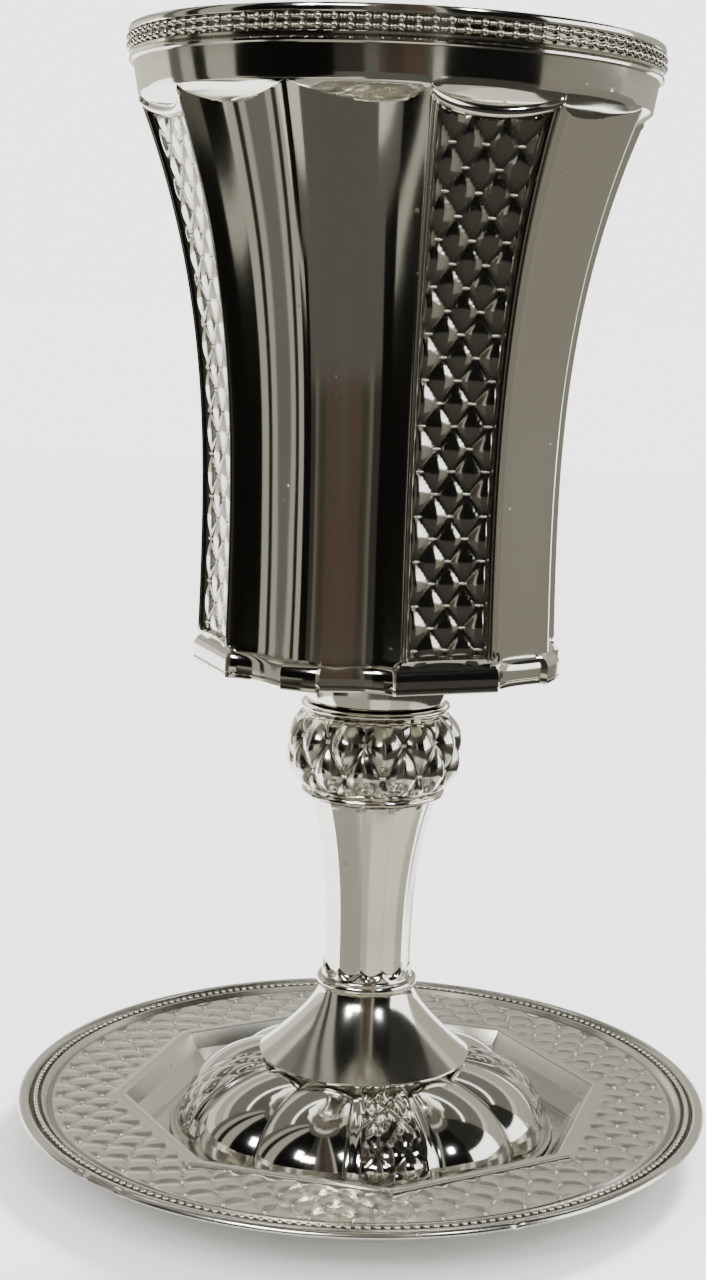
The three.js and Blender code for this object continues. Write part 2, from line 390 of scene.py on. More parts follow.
def tuft_tree():
    """Presses diagonal creases with a tuft at each crossing into a ball round the Z axis."""
    tree = geometry_tree(
        "tufts",
        {
            "Middle": "NodeSocketFloat",
            "Half Height": "NodeSocketFloat",
            "Row": "NodeSocketFloat",
            "Tufts": "NodeSocketFloat",
            "Turn": "NodeSocketFloat",
            "Depth": "NodeSocketFloat",
            "Metal": "NodeSocketMaterial",
        },
    )
    group = add_node(tree, "NodeGroupInput").outputs
    given = {socket.name: Value(tree, socket) for socket in group if socket.name}
    position = add_node(tree, "GeometryNodeInputPosition").outputs["Position"]
    split = add_node(tree, "ShaderNodeSeparateXYZ", sockets={0: position}).outputs
    x, y, z = [Value(tree, socket) for socket in split]
    angle = x.maths("ARCTAN2", x, 0 - y)
    around = (angle - given["Turn"]) * given["Tufts"] / (2 * math.pi)
    lift = (z - given["Middle"]) / given["Half Height"]
    upward = (z - given["Middle"] - given["Row"]) / (given["Row"] * 4)
    rising = abs(((around + upward) * math.pi).sine())
    falling = abs(((around - upward) * math.pi).sine())
    folds = rising * falling
    star = (1 - rising) * (1 - falling)
    bulge = (1 - (lift * lift).below(1)) ** 0.5
    # A pillow is part tent and part cushion, and a star of wrinkles runs into each tuft.
    pillow = rising.below(falling) * 0.65 + folds**0.5 * 0.35
    dip = ((1 - pillow) * 0.7 + star * 0.3) * bulge**0.5 * given["Depth"]
    radius = (x * x + y * y) ** 0.5
    share = (radius - dip) / radius.above(MM * 0.001)
    moved = add_node(
        tree, "ShaderNodeCombineXYZ", sockets={"X": x * share, "Y": y * share, "Z": z}
    )
    pressed = add_node(
        tree,
        "GeometryNodeSetPosition",
        sockets={"Geometry": group["Geometry"], "Position": moved.outputs["Vector"]},
    )
    # The stored crease paints shade, with tarnished tone, along the creases and into each tuft.
    marked = add_node(
        tree,
        "GeometryNodeStoreNamedAttribute",
        {"data_type": "FLOAT", "domain": "POINT"},
        {
            "Geometry": pressed.outputs["Geometry"],
            "Name": "crease",
            "Value": (1 - folds**0.6) ** 1.5 * bulge,
        },
    )
    real = add_node(
        tree,
        "GeometryNodeRealizeInstances",
        sockets={"Geometry": marked.outputs["Geometry"]},
    )
    dressed = add_node(
        tree,
        "GeometryNodeSetMaterial",
        sockets={"Geometry": real.outputs["Geometry"], "Material": group["Metal"]},
    )
    add_node(tree, "NodeGroupOutput", sockets={"Geometry": dressed.outputs["Geometry"]})
    return tree


BEADS = bead_tree()


# ---- metals ---------------------------------------------------------------------------------


def plated_metal(name, colour, tarnish_and_shade_colour, roughness, haze=0.05, ripple=0.3):
    """Polished plate with haze, fine wipe marks, specks and ripples, and darker in the folds: partly
    tarnished hollows, partly painted shade.
    """
    metal = bpy.data.materials.new(name)
    metal.use_nodes = True
    tree = metal.node_tree
    tree.nodes.clear()
    where = add_node(tree, "ShaderNodeTexCoord").outputs["Object"]

    def noise(scale, detail, at=where):
        made = add_node(
            tree,
            "ShaderNodeTexNoise",
            sockets={"Vector": at, "Scale": scale, "Detail": detail, "Roughness": 0.6},
        )
        return Value(tree, made.outputs["Fac"])

    upright = add_node(
        tree, "ShaderNodeMapping", sockets={"Vector": where, "Scale": (900.0, 900.0, 120.0)}
    )
    dots = add_node(
        tree, "ShaderNodeTexVoronoi", sockets={"Vector": where, "Scale": 420.0}
    )
    fold = Value(
        tree, add_node(tree, "ShaderNodeAttribute", {"attribute_name": "crease"}).outputs["Fac"]
    )
    cloud = noise(55.0, 4.0)
    wave = noise(38.0, 0.5)
    wipe = noise(1.0, 3.0, upright.outputs["Vector"])
    patch = ((cloud - 0.56) * 12).above(0).below(1)
    speck = ((0.16 - Value(tree, dots.outputs["Distance"])) * 20).above(0).below(1) * patch
    # The colour darkens with crease: tarnished metal in the hollows plus painted shade in folds,
    # grooves and between beads. The cloud patches and specks are the metal's own tarnished spots.
    tarnish_and_shade_share = (fold * (0.55 + 0.9 * cloud) + (cloud - 0.62).above(0) * 0.5 + speck * 0.6).below(1)
    paint = add_node(
        tree,
        "ShaderNodeMix",
        {"data_type": "RGBA"},
        {"Factor": tarnish_and_shade_share, 6: (*colour, 1), 7: (*tarnish_and_shade_colour, 1)},
    )
    gloss = (roughness + haze * cloud + 0.6 * haze * wipe + fold * 0.12 + speck * 0.25).below(1)
    bump = add_node(
        tree,
        "ShaderNodeBump",
        sockets={
            "Strength": ripple,
            "Distance": 0.001,
            "Height": wave + cloud * 0.02 + wipe * 0.003 - speck * 0.04,
        },
    )
    surface = add_node(
        tree,
        "ShaderNodeBsdfPrincipled",
        sockets={
            "Base Color": paint.outputs[2],
            "Metallic": 1.0,
            "Roughness": gloss,
            "Normal": bump.outputs["Normal"],
        },
    )
    add_node(
        tree, "ShaderNodeOutputMaterial", sockets={"Surface": surface.outputs["BSDF"]}
    )
    return metal


# The second colour of each metal is its tarnished tone, which also paints shade into the folds. The
# saucer's is darkest, to deepen the painted shade in its bead groove.
BOWL_METAL = plated_metal(
    "bowl_metal", (0.80, 0.785, 0.72), (0.20, 0.18, 0.13), 0.06, 0.04, 0.5
)
KNOP_METAL = plated_metal("knop_metal", (0.82, 0.80, 0.73), (0.16, 0.145, 0.11), 0.09, 0.05)
STEM_METAL = plated_metal("stem_metal", (0.84, 0.82, 0.75), (0.25, 0.23, 0.18), 0.09, 0.05)
FOOT_METAL = plated_metal("foot_metal", (0.78, 0.77, 0.72), (0.18, 0.17, 0.13), 0.05, 0.04)
SAUCER_METAL = plated_metal("saucer_metal", (0.80, 0.785, 0.73), (0.13, 0.12, 0.095), 0.13, 0.09)


# ---- saucer ---------------------------------------------------------------------------------


def octagon(corner, height, crease=0.0):
    """Ring in the shape of the well, given the distance from the centre to a corner."""
    half = 22.5

    def station(angle):
        from_flat = from_nearest(angle, WELL_TURN + half, 2 * half)
        radius = corner * math.cos(math.radians(half)) / math.cos(math.radians(from_flat))
        return radius, height, crease

    return station


def flange_ring(share):
    """Quilted ring between the well's frame, at share 0, and the groove, at share 1."""
    inner = octagon(WELL_CORNER + FRAME_WIDTH, FLANGE)
    outer_radius = SAUCER_RADIUS - 4.9

    def station(angle):
        radius = mix(inner(angle)[0], outer_radius, share)
        u = (angle - WELL_TURN) * SAUCER_QUILTS / 360
        v = (radius - SAUCER_QUILT_RADIUS) / SAUCER_QUILT_LONG
        fade = ease(share / 0.06) * ease((1 - share) / 0.05)
        sunk = (1 - diamonds(u, v)) * fade
        # The crease value paints shade, with tarnished tone, into the flange's quilting.
        return radius, FLANGE - SAUCER_QUILT_DEPTH * sunk, 0.4 * sunk**2.2

    return station


def edge_ring(radius, height):
    """Ring of the bright edge, with three small nicks in it."""

    def station(angle):
        nick = 0
        for turn, width, depth in ((-47, 1.3, 0.2), (-38, 0.8, 0.14), (24, 1.0, 0.18)):
            nick += depth * ease(1 - abs(from_nearest(angle, turn, 360)) / width)
        return radius - nick, height - nick, 0.0

    return station


def make_saucer():
    frame_top = FLANGE + FRAME_RISE
    under = FLANGE - SHEET
    groove = SAUCER_RADIUS - 4.6
    bead_inside = SAUCER_RADIUS - 3.2
    bead_outside = SAUCER_RADIUS - 1.8
    quilted = [flange_ring(i / 30) for i in range(31)]
    rings = [
        ring(0, 0),
        ring(12, 0),
        octagon(WELL_FLOOR_CORNER - 0.8, 0),
        octagon(WELL_FLOOR_CORNER - 0.4, 0.15),
        octagon(WELL_CORNER - 0.6, under - 0.15),
        octagon(WELL_CORNER - 0.2, under),
        ring(SAUCER_RADIUS - 4.5, under),
        ring(SAUCER_RADIUS - 0.9, SAUCER_TOP - 1.15),
        edge_ring(SAUCER_RADIUS - 0.3, SAUCER_TOP - 1.0),
        edge_ring(SAUCER_RADIUS, SAUCER_TOP - 0.62),
        edge_ring(SAUCER_RADIUS - 0.08, SAUCER_TOP - 0.35),
        edge_ring(SAUCER_RADIUS - 0.32, SAUCER_TOP - 0.12),
        edge_ring(SAUCER_RADIUS - 0.7, SAUCER_TOP),
        edge_ring(SAUCER_RADIUS - 1.15, SAUCER_TOP - 0.02),
        ring(SAUCER_RADIUS - 1.5, SAUCER_TOP - 0.2),
        # Crease 1 paints shade, with tarnished tone, deep in the groove under the bead line; the
        # groove below it gets a lighter painted shade.
        ring(bead_outside, SAUCER_TOP - 0.7, 1),
        ring(bead_inside, SAUCER_TOP - 0.7, 1),
        ring(bead_inside - 0.15, SAUCER_TOP - 0.42),
        ring(bead_inside - 0.45, SAUCER_TOP - 0.42),
        ring(bead_inside - 0.8, FLANGE + 0.05),
        ring(groove + 0.3, FLANGE - 0.3, 0.5),
        ring(groove, FLANGE - 0.3, 0.5),
        *reversed(quilted),
        octagon(WELL_CORNER + FRAME_WIDTH - 0.1, FLANGE + 0.12),
        octagon(WELL_CORNER + FRAME_WIDTH - 0.3, frame_top),
        octagon(WELL_CORNER + 0.3, frame_top),
        octagon(WELL_CORNER, frame_top - 0.12),
        octagon(WELL_CORNER - 0.2, frame_top - 0.5),
        # Crease values paint shade, with tarnished tone, in the corner of the well's floor.
        octagon(WELL_FLOOR_CORNER + 0.3, SHEET + 0.35, 0.15),
        octagon(WELL_FLOOR_CORNER - 0.1, SHEET + 0.05, 0.35),
        octagon(WELL_FLOOR_CORNER - 0.6, SHEET, 0.1),
        ring(12, SHEET),
        ring(0, SHEET),
    ]
    saucer = skin("saucer_plate", rings, even_angles(480, WELL_TURN))
    saucer.data.materials.append(SAUCER_METAL)

    bead_middle = (bead_inside + bead_outside) / 2
    row = []
    for angle in even_angles(SAUCER_BEADS):
        row.append((place(angle, bead_middle, SAUCER_TOP - 0.5), 0.42))
    line = beads("saucer_bead_line", row, SAUCER_METAL, 8, 5)

    tufts = []
    for angle in even_angles(SAUCER_QUILTS, WELL_TURN):
        half = 180 / SAUCER_QUILTS
        for step, turn in ((0, 0), (0.5, half), (1, 0)):
            radius = SAUCER_QUILT_RADIUS + step * SAUCER_QUILT_LONG
            height = FLANGE - 0.7 * SAUCER_QUILT_DEPTH
            tufts.append((place(angle + turn, radius, height), 0.3))
    buttons = beads("saucer_tufts", tufts, SAUCER_METAL, 8, 5)
    return [saucer, line, buttons]


# ---- foot -----------------------------------------------------------------------------------

FOOT_BASE = FOOT_LOW.z
FOOT_SPRING = FOOT_BASE + FOOT_EDGE
FOOT_RISE = FOOT_HIGH.z - FOOT_SPRING


def foot_quilt(angle, rise):
    """How far the quilting is pressed into a lobe, and its crease. Every third lobe has it."""
    across = from_nearest(angle, FOOT_TURN, QUARTER)
    if abs(across) > 11.5 or rise < 4 or rise > 86:
        return 0.0, 0.0
    if abs(across) > 10:
        line = 1 - abs(abs(across) - 10.7) / 0.8
        return -0.18 * ease(line), 0.0
    puff = diamonds(across / 10, rise / 24 + 0.25)
    fade = ease((10 - abs(across)) / 0.8) * ease((rise - 4) / 4)
    # The crease value paints shade, with tarnished tone, into the quilting's creases.
    return FOOT_QUILT_DEPTH * (1 - puff) * fade, 0.85 * (1 - puff) ** 1.5 * fade


def foot_ring(rise, inset=0.0, quilted=True):
    """Ring on the lobed dome, from rise 0 at the base to 90 at the crown."""
    level = math.cos(math.radians(rise))
    upright = math.sin(math.radians(rise))

    def station(angle):
        across = from_nearest(angle, FOOT_TURN, 360 / FOOT_LOBES) / (180 / FOOT_LOBES)
        valley = LOBE_DEPTH * across**2 * (0.35 + 0.65 * level)
        pressed, crease = foot_quilt(angle, rise) if quilted else (0.0, 0.0)
        depth = inset + valley + pressed
        radius = FOOT_CROWN + (FOOT_RADIUS - FOOT_CROWN) * level - depth * level
        # The crease value paints shade, with tarnished tone, into the valleys between lobes.
        fold = max(crease, ease((abs(across) - 0.9) / 0.1) * 0.8)
        return radius, FOOT_SPRING + (FOOT_RISE - depth) * upright, fold

    return station


def make_foot():
    outside = [foot_ring(1.9 * i) for i in range(46)]
    inside = [foot_ring(rise, SHEET, False) for rise in (80, 60, 40, 20, 6)]
    rings = [
        ring(0, FOOT_HIGH.z - SHEET),
        ring(FOOT_CROWN - 2, FOOT_HIGH.z - SHEET),
        *inside,
        ring(FOOT_RING - 2.6, FOOT_BASE),
        ring(FOOT_RING - 0.1, FOOT_BASE),
        ring(FOOT_RING, FOOT_BASE + 0.1),
        ring(FOOT_RING, FOOT_SPRING - 0.12),
        ring(FOOT_RING - 0.12, FOOT_SPRING),
        # Crease 0.6 paints shade, with tarnished tone, where the dome springs from its edge.
        ring(FOOT_RING - 0.75, FOOT_SPRING, 0.6),
        *outside,
        ring(FOOT_CROWN, FOOT_HIGH.z),
        ring(0, FOOT_HIGH.z),
    ]
    foot = skin("foot_dome", rings, even_angles(360, FOOT_TURN))
    foot.data.materials.append(FOOT_METAL)
    return [foot]


# ---- stem with its bell and collar ------------------------------------------------------------


def bell_ring(fall):
    """Trumpet shape: steep at the neck, running out nearly flat to the edge."""
    top = COLLAR_HEIGHT - 1
    height = top - (top - STEM_LOW.z - BELL_EDGE) * fall
    return ring(BELL_NECK + (BELL_RADIUS - BELL_NECK) * fall**BELL_POWER, height)


def stem_radius(height):
    rise = clamp((height - STEM_WAIST_HEIGHT) / (STEM_HIGH.z - STEM_WAIST_HEIGHT))
    return STEM_WAIST + (STEM_TOP_RADIUS - STEM_WAIST) * rise**2.6


def stem_ring(height):
    """Fluted ring. The flutes end in small arches just above the collar."""

    def station(angle):
        across = from_nearest(angle, STEM_TURN, 360 / STEM_FLUTES) / (180 / STEM_FLUTES)
        start = COLLAR_HEIGHT + 1.1 + 1.1 * abs(across) ** 2.5
        open_share = ease((height - start) / 0.7) * ease((STEM_HIGH.z - height) / 0.3)
        depth = STEM_FLUTE_DEPTH * (1 - across**2) * open_share * stem_radius(height) / 7.5
        ledge = 0.22 * (1 - open_share) * (height < STEM_WAIST_HEIGHT)
        # The crease value paints shade, with tarnished tone, where each flute opens out of its arch.
        fold = 0.25 * open_share * (1 - open_share) * 4
        return stem_radius(height) - depth + ledge, height, fold

    return station


def make_stem():
    low = STEM_LOW.z
    bell = [bell_ring(1 - i / 24) for i in range(25)]
    start = COLLAR_HEIGHT + 0.9
    lower = [stem_ring(start + 0.22 * i) for i in range(16)]
    first = start + 0.22 * 16
    upper = [stem_ring(mix(first, STEM_HIGH.z - 0.3, i / 36)) for i in range(37)]
    rings = [
        ring(0, low + 3.65),
        ring(BELL_NECK + 1, low + 3.65),
        ring(BELL_RADIUS - 1.9, low + BELL_EDGE),
        ring(BELL_RADIUS - 1, low + 0.1),
        ring(BELL_RADIUS - 0.6, low),
        ring(BELL_RADIUS - 0.25, low + 0.05),
        ring(BELL_RADIUS - 0.06, low + 0.2),
        ring(BELL_RADIUS, low + 0.4),
        *bell,
        # The crease values beside the collar paint shade, with tarnished tone, where it meets the
        # bell and the flutes.
        ring(COLLAR_RADIUS - 0.5, COLLAR_HEIGHT - 0.85, 0.5),
        ring(COLLAR_RADIUS - 0.2, COLLAR_HEIGHT - 0.6),
        ring(COLLAR_RADIUS - 0.03, COLLAR_HEIGHT - 0.3),
        ring(COLLAR_RADIUS, COLLAR_HEIGHT),
        ring(COLLAR_RADIUS - 0.08, COLLAR_HEIGHT + 0.35),
        ring(COLLAR_RADIUS - 0.35, COLLAR_HEIGHT + 0.65),
        ring(COLLAR_RADIUS - 0.8, COLLAR_HEIGHT + 0.75, 0.5),
        *lower,
        *upper,
        ring(STEM_TOP_RADIUS, STEM_HIGH.z),
        ring(0, STEM_HIGH.z),
    ]
    stem = skin("fluted_stem", rings, even_angles(STEM_FLUTES * 14, STEM_TURN))
    stem.data.materials.append(STEM_METAL)
    return [stem]


# ---- knop -----------------------------------------------------------------------------------


def ball_ring(lift):
    bulge = math.sqrt(max(0, 1 - (lift / KNOP_BALL_HALF) ** 2))
    return ring(mix(KNOP_NECK, KNOP_BALL_RADIUS, bulge), KNOP_MIDDLE + lift)


def make_knop():
    low = KNOP_LOW.z
    high = KNOP_HIGH.z
    ball = [ball_ring(-KNOP_BALL_HALF * math.cos(math.pi * i / 44)) for i in range(1, 44)]
    lower_ring = KNOP_RING - 0.2
    rings = [
        ring(0, low),
        ring(lower_ring - 0.35, low),
        ring(lower_ring - 0.08, low + 0.12),
        ring(lower_ring, low + 0.4),
        ring(lower_ring - 0.15, low + 0.75),
        ring(KNOP_NECK + 0.1, low + 1.05),
        ring(KNOP_NECK, KNOP_MIDDLE - KNOP_BALL_HALF),
        *ball,
        ring(KNOP_NECK, KNOP_MIDDLE + KNOP_BALL_HALF),
        ring(KNOP_RING - 0.2, high - 1),
        ring(KNOP_RING + 0.15, high - 0.7),
        ring(KNOP_RING + 0.15, high - 0.35),
        ring(KNOP_RING - 0.1, high - 0.05),
        ring(KNOP_RING - 0.35, high),
        ring(0, high),
    ]
    knop = skin("quilted_knop", rings, even_angles(KNOP_BUTTONS * 22, KNOP_TURN), 60)
    sizes = {
        "Middle": KNOP_MIDDLE * MM,
        "Half Height": KNOP_BALL_HALF * MM,
        "Row": KNOP_ROW * MM,
        "Tufts": float(KNOP_BUTTONS),
        "Turn": math.radians(KNOP_TURN),
        "Depth": KNOP_TUFT_DEPTH * MM,
        "Metal": KNOP_METAL,
    }
    settle(knop, tuft_tree(), sizes)

    bulge = math.sqrt(1 - (KNOP_ROW / KNOP_BALL_HALF) ** 2)
    radius = mix(KNOP_NECK, KNOP_BALL_RADIUS, bulge) - KNOP_TUFT_DEPTH * bulge**0.5 + 0.12
    spots = []
    for angle in even_angles(KNOP_BUTTONS, KNOP_TURN):
        for side, turn in ((1, 0), (-1, 180 / KNOP_BUTTONS)):
            height = KNOP_MIDDLE + side * KNOP_ROW
            spots.append((place(angle + turn - 1.1, radius, height), 0.34))
            spots.append((place(angle + turn + 1.1, radius, height), 0.34))
    buttons = beads("knop_tufts", spots, KNOP_METAL, 10, 7)
    return [knop, buttons]


# ---- bowl -----------------------------------------------------------------------------------


def ridge_radius(height):
    """Radius of the circle that touches the ridges between the flutes."""
    if height < WAIST_HEIGHT:
        drop = (WAIST_HEIGHT - height) / (WAIST_HEIGHT - HEM_TOP)
        return WAIST_RADIUS + WAIST_BASE_SWELL * drop**1.5
    rise = (height - WAIST_HEIGHT) / (BAND_BOTTOM - WAIST_HEIGHT)
    return WAIST_RADIUS + (BAND_BOTTOM_RADIUS - WAIST_RADIUS) * rise**FLARE_POWER


def flute_shape(away):
    """0 on a ridge or rib and 1 at the deepest line of a flute, from the quilted flute's middle."""
    if away < QUILT_HALF:
        return 1 - (away / QUILT_HALF) ** 2
    across = clamp((away - QUILT_HALF) / (RIB - QUILT_HALF))
    roll_power = 1.6
    deepest = 1 / (1 + roll_power)
    return across * (1 - across) ** roll_power / (deepest * (1 - deepest) ** roll_power)


def flute_radius(angle, height):
    away = abs(from_nearest(angle, QUILT_TURN, QUARTER))
    depth = QUILT_FLUTE_DEPTH if away < QUILT_HALF else SMOOTH_FLUTE_DEPTH
    return ridge_radius(height) * (1 - depth * flute_shape(away) / WAIST_RADIUS)


def arch_height(angle):
    """Top of the flutes, which dips in an arch between one ridge and the next."""
    away = abs(from_nearest(angle, QUILT_TURN, QUARTER))
    return BAND_BOTTOM - SCOOP_DROP * math.sqrt(max(0, flute_shape(away)))


def quilt_place(across, height):
    """Where a point of a quilted flute lies in its lattice of tufts."""
    rise = (height - HEM_TOP) / (BAND_BOTTOM - HEM_TOP)
    width = mix(QUILT_WIDE, QUILT_WIDE_TOP, rise)
    u = math.radians(across) * ridge_radius(height) / width
    return u, (height - QUILT_FIRST_ROW) / QUILT_TALL


def quilt_relief(angle, height):
    """Relief of a quilted flute on its hollow, and the crease there."""
    across = from_nearest(angle, QUILT_TURN, QUARTER)
    away = abs(across)
    if away >= QUILT_HALF:
        return 0.0, 0.0
    below_arch = arch_height(angle) - height
    above_hem = height - HEM_TOP
    if below_arch < QUILT_LIP:
        return 0.3 * math.sin(math.pi * clamp(below_arch / QUILT_LIP)), 0.0
    if above_hem < 0.8:
        return 0.25 * math.sin(math.pi * clamp(above_hem / 0.8)), 0.0
    # The crease values paint shade, with tarnished tone, along the double border and in the
    # quilting's creases.
    if away > QUILT_BORDER:
        return 0.24 * abs(math.sin(math.pi * (away - QUILT_BORDER))), 0.12
    puff = diamonds(*quilt_place(across, height))
    edge = min((QUILT_BORDER - away) / 0.8, (below_arch - QUILT_LIP) / 0.5, (above_hem - 0.8) / 0.5)
    side = ease(edge)
    return -QUILT_DEPTH * (1 - puff * side), max((1 - puff) ** 1.4, 0.5 * (1 - side))


def wall_ring(share):
    """Ring of the fluted wall, from the hem at share 0 to the flutes' arched tops at share 1."""

    def station(angle):
        height = mix(HEM_TOP, arch_height(angle), share)
        relief, crease = quilt_relief(angle, height)
        return flute_radius(angle, height) + relief, height, crease

    return station


def scoop_ring(share):
    """Ring of the slanted lenses between the arches and the band's straight lower edge."""

    def station(angle):
        low = arch_height(angle)
        radius = mix(flute_radius(angle, low), BAND_BOTTOM_RADIUS, share**0.8)
        return radius, mix(low, BAND_BOTTOM, share), 0.0

    return station


def hem_radius(angle):
    """Outline of the hem: flat below a quilted flute, hollow below a smooth one, a block at a rib."""
    away = abs(from_nearest(angle, QUILT_TURN, QUARTER))
    flat = HEM_CORNER * math.cos(math.radians(HEM_FLAT_HALF))
    if away <= HEM_FLAT_HALF - 0.4:
        return flat / math.cos(math.radians(away))
    hollow = flute_radius(angle, HEM_TOP) + 0.95
    if away <= HEM_FLAT_HALF:
        corner = flat / math.cos(math.radians(away))
        return mix(corner, hollow, (away - HEM_FLAT_HALF + 0.4) / 0.4)
    return mix(hollow, HEM_BLOCK, ease((away - HEM_BLOCK_START + 0.5) / 0.5))


def hem_ring(inset, height, crease=0.0):
    return lambda angle: (hem_radius(angle) - inset, height, crease)


def inner_ring(height):
    return lambda angle: (flute_radius(angle, height) - CUP_WALL, height, 0.0)


def bowl_angles():
    """Columns of the bowl: close together on the quilting and its borders, wider elsewhere."""
    quilt = [0.5 * i for i in range(27)]
    border = [QUILT_BORDER + 0.25 * i for i in range(1, 9)]
    smooth = [15.4, 15.9, 16.4, 16.8, 17.6, 19, 21, 23, 25, 27, 29, 31, 33, 35, 37, 38.4, 39, 39.5]
    rib = [40.5, 41.6, 42.8, 44]
    half = quilt + border + smooth + rib
    quarter = [-away for away in reversed(half[1:])] + half + [RIB]
    return [QUILT_TURN + QUARTER * turn + away for turn in range(4) for away in quarter]


def bowl_rings():
    low = BOWL_LOW.z
    lip = BEAD_RADIUS - 0.3
    bead_core = BEAD_RADIUS - 0.85
    rim_ring = BEAD_RADIUS - 0.4
    steps = 134
    lip_share = 0.979
    wall = [wall_ring(lip_share * i / steps) for i in range(steps + 1)]
    wall_top = [wall_ring(mix(lip_share, 1, i / 7)) for i in range(1, 8)]
    inner_heights = [mix(BAND_BOTTOM, HEM_TOP + 1, i / 22) for i in range(1, 23)]
    return [
        ring(0, low),
        ring(NECK_RADIUS - 0.6, low),
        *[ring(NECK_RADIUS - 0.4 + 0.2 * i, mix(low, HEM_BOTTOM, i / 5)) for i in range(1, 5)],
        # Crease values in these rings paint shade, with tarnished tone, in the joins and grooves of
        # the neck and hem.
        ring(NECK_RADIUS + 0.7, HEM_BOTTOM - 0.1, 0.2),
        ring(NECK_RADIUS + 1.1, HEM_BOTTOM, 0.4),
        hem_ring(0.5, HEM_BOTTOM),
        hem_ring(0.12, HEM_BOTTOM + 0.08),
        hem_ring(0, HEM_BOTTOM + 0.3),
        hem_ring(0, HEM_BOTTOM + 0.62),
        hem_ring(0.14, HEM_BOTTOM + 0.74, 0.5),
        hem_ring(0.14, HEM_BOTTOM + 0.86, 0.5),
        hem_ring(0.02, HEM_BOTTOM + 0.98),
        hem_ring(0, HEM_BOTTOM + 1.7),
        hem_ring(0, HEM_BOTTOM + 2.4),
        hem_ring(0.1, HEM_BOTTOM + 2.8),
        hem_ring(0.34, HEM_BOTTOM + 3.2),
        hem_ring(0.62, HEM_BOTTOM + 3.5),
        hem_ring(0.9, HEM_BOTTOM + 3.68, 0.3),
        *wall,
        *wall_top,
        *[scoop_ring(share) for share in (0.06, 0.3, 0.55, 0.8, 0.97)],
        ring(BAND_BOTTOM_RADIUS + 0.03, BAND_BOTTOM + 0.12),
        ring(mix(BAND_BOTTOM_RADIUS, BAND_TOP_RADIUS, 0.25), mix(BAND_BOTTOM, BAND_TOP, 0.25)),
        ring(mix(BAND_BOTTOM_RADIUS, BAND_TOP_RADIUS, 0.6), mix(BAND_BOTTOM, BAND_TOP, 0.6)),
        # Crease values here paint shade, with tarnished tone, under the rim and behind the rim beads.
        ring(BAND_TOP_RADIUS, BAND_TOP, 0.2),
        ring(rim_ring - 0.12, BAND_TOP + 0.05, 0.2),
        ring(rim_ring, BAND_TOP + 0.2),
        ring(rim_ring, BAND_TOP + 0.5),
        ring(rim_ring - 0.2, BAND_TOP + 0.7, 0.5),
        ring(rim_ring - 0.3, BAND_TOP + 0.9, 0.7),
        ring(rim_ring - 0.12, BAND_TOP + 1.0, 0.3),
        ring(rim_ring - 0.05, BAND_TOP + 1.3),
        ring(bead_core, BAND_TOP + 1.42, 0.8),
        ring(bead_core, BAND_TOP + 3.5, 0.8),
        ring(lip - 0.1, BAND_TOP + 3.58, 0.2),
        ring(lip, BAND_TOP + 3.72),
        ring(lip, RIM_TOP - 0.35),
        ring(lip - 0.12, RIM_TOP - 0.1),
        ring(lip - 0.4, RIM_TOP),
        ring(lip - 0.8, RIM_TOP - 0.06),
        ring(lip - 1.0, RIM_TOP - 0.3),
        ring(BAND_TOP_RADIUS - CUP_WALL + 0.05, BAND_TOP),
        ring(BAND_BOTTOM_RADIUS - CUP_WALL, BAND_BOTTOM),
        *[inner_ring(height) for height in inner_heights],
        ring(12, BOWL_FLOOR + 0.6),
        ring(0, BOWL_FLOOR),
    ]


def rim_beads():
    """Two rows of the same motif: a round bead, then a pair of small ones."""
    pitch = 360 / RIM_MOTIFS
    radius = BEAD_RADIUS - 0.52
    spots = []
    for angle in even_angles(RIM_MOTIFS, 0.5):
        for height in (BAND_TOP + 1.95, BAND_TOP + 3.02):
            spots.append((place(angle, radius, height), 0.52))
            spots.append((place(angle + 0.42 * pitch, radius - 0.05, height), 0.29))
            spots.append((place(angle + 0.64 * pitch, radius - 0.05, height), 0.29))
    return spots


def quilt_tufts():
    """A small button with a dot on each side of it at every tuft of the quilted flutes."""
    spots = []
    rows = int((BAND_BOTTOM - 3.2 - QUILT_FIRST_ROW) / (QUILT_TALL / 2)) + 1
    for row in range(rows):
        height = QUILT_FIRST_ROW + row * QUILT_TALL / 2
        rise = (height - HEM_TOP) / (BAND_BOTTOM - HEM_TOP)
        width = math.degrees(mix(QUILT_WIDE, QUILT_WIDE_TOP, rise) / ridge_radius(height))
        for step in range(-3, 4):
            across = (step + (0.5 if row % 2 else 0)) * width
            if abs(across) > QUILT_BORDER - 0.7:
                continue
            if height > arch_height(QUILT_TURN + across) - QUILT_LIP - 0.5:
                continue
            for quarter in range(4):
                for side, size in ((0, 0.26), (-1, 0.19), (1, 0.19)):
                    angle = QUILT_TURN + quarter * QUARTER + across
                    angle += side * math.degrees(0.4 / ridge_radius(height))
                    radius = flute_radius(angle, height) - 0.8 * QUILT_DEPTH
                    spots.append((place(angle, radius, height), size))
    return spots


def make_bowl():
    bowl = skin("fluted_bowl", bowl_rings(), bowl_angles())
    bowl.data.materials.append(BOWL_METAL)
    rim = beads("rim_beads", rim_beads(), BOWL_METAL, 9, 6)
    tufts = beads("bowl_tufts", quilt_tufts(), BOWL_METAL, 7, 5)
    return [bowl, rim, tufts]


# ---- the object ---------------------------------------------------------------------------------


def declare(node, made):
    """Hangs every piece under the root body and hides the node's own solid. The first piece is the
    main one and the others are finer parts of the same metal.
    """
    for piece in made:
        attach(piece, "root")
    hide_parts(node)


declare("saucer", make_saucer())
declare("foot", make_foot())
declare("stem", make_stem())
declare("knop", make_knop())
declare("bowl", make_bowl())


# ---- floor, light and camera ----------------------------------------------------------------


